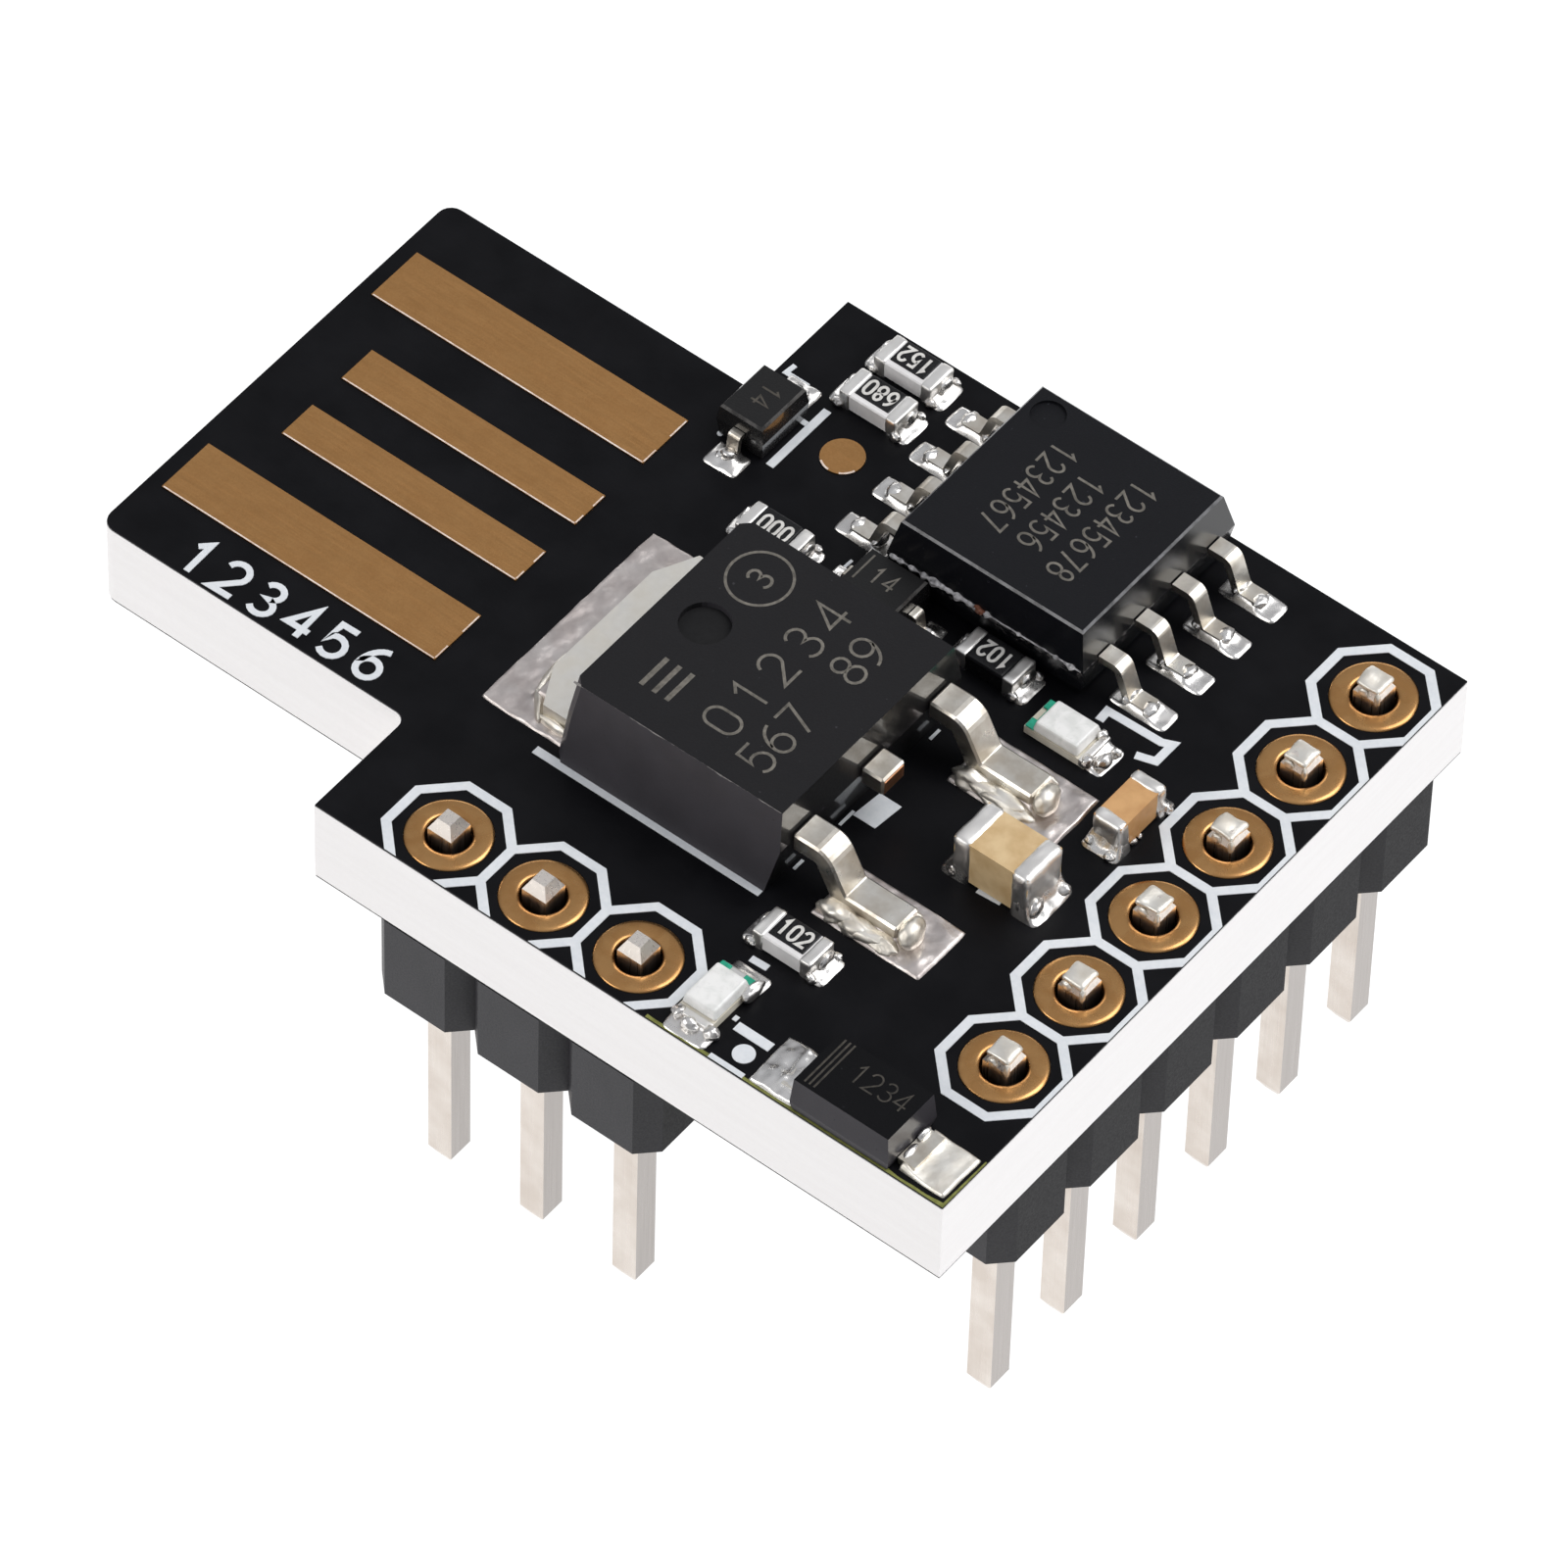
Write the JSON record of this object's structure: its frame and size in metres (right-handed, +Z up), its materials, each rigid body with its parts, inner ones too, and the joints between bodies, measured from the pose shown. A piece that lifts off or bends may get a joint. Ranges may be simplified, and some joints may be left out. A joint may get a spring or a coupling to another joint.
{
  "type": "microcontroller dev board",
  "caption": "Small microcontroller board: a circuit-board tongue that plugs straight into a USB socket, surface-mounted parts on top, and two strips of square pins underneath.",
  "frame": {"origin": "middle of the board seen from above, at the height of the header pins' tips", "axes": "+X from the USB tongue towards the edge with the long pin header, +Y along that header, +Z up from the pin tips to the side with the parts"},
  "size_m": [0.0252, 0.018, 0.0132],
  "materials": {
    "laminate": "satin",
    "solder_mask": "semi-gloss",
    "gold_contact": "satin",
    "header_plastic": "satin",
    "pin_metal": "satin",
    "mcu_epoxy": "satin",
    "regulator_epoxy": "satin",
    "diode_epoxy": "satin",
    "tinned_leads": "bright",
    "resistor_ceramic": "satin",
    "capacitor_ceramic_tan": "satin",
    "capacitor_ceramic_brown": "satin",
    "capacitor_ends": "satin",
    "led_lens": "gloss",
    "led_substrate": "satin",
    "solder": "bright",
    "printed_ink": "matte",
    "laser_mark": "matte"
  },
  "bodies": {
    "root": {"board_laminate": "laminate", "capacitor_large_cap_end": "capacitor_ends", "capacitor_large_cap_start": "capacitor_ends", "capacitor_large_ceramic": "capacitor_ceramic_tan", "capacitor_small_cap_end": "capacitor_ends", "capacitor_small_cap_start": "capacitor_ends", "capacitor_small_ceramic": "capacitor_ceramic_brown", "header_housing_six": "header_plastic", "header_housing_three": "header_plastic", "led_power_base": "led_substrate", "led_power_lens": "led_lens", "led_signal_base": "led_substrate", "led_signal_lens": "led_lens", "mcu_body": "mcu_epoxy", "mcu_lead_1": "tinned_leads", "mcu_lead_2": "tinned_leads", "mcu_lead_3": "tinned_leads", "mcu_lead_4": "tinned_leads", "mcu_lead_5": "tinned_leads", "mcu_lead_6": "tinned_leads", "mcu_lead_7": "tinned_leads", "mcu_lead_8": "tinned_leads", "pin_six_row_1": "pin_metal", "pin_six_row_2": "pin_metal", "pin_six_row_3": "pin_metal", "pin_six_row_4": "pin_metal", "pin_six_row_5": "pin_metal", "pin_six_row_6": "pin_metal", "pin_three_row_1": "pin_metal", "pin_three_row_2": "pin_metal", "pin_three_row_3": "pin_metal", "regulator_body": "regulator_epoxy", "regulator_lead_input": "tinned_leads", "regulator_lead_middle_stub": "tinned_leads", "regulator_lead_output": "tinned_leads", "regulator_tab": "tinned_leads", "resistor_back_lower": "resistor_ceramic", "resistor_back_upper": "resistor_ceramic", "resistor_behind_regulator": "resistor_ceramic", "resistor_beside_mcu": "resistor_ceramic", "resistor_front": "resistor_ceramic", "schottky_body": "diode_epoxy", "schottky_terminal_anode": "tinned_leads", "schottky_terminal_cathode": "tinned_leads", "solder_mask_bottom": "solder_mask", "solder_mask_top": "solder_mask", "test_pad": "gold_contact", "usb_contact_1": "gold_contact", "usb_contact_2": "gold_contact", "usb_contact_3": "gold_contact", "usb_contact_4": "gold_contact", "zener_middle_body": "diode_epoxy", "zener_middle_lead_anode": "tinned_leads", "zener_middle_lead_cathode": "tinned_leads", "zener_tongue_body": "diode_epoxy", "zener_tongue_lead_anode": "tinned_leads", "zener_tongue_lead_cathode": "tinned_leads"}
  },
  "joints": []
}
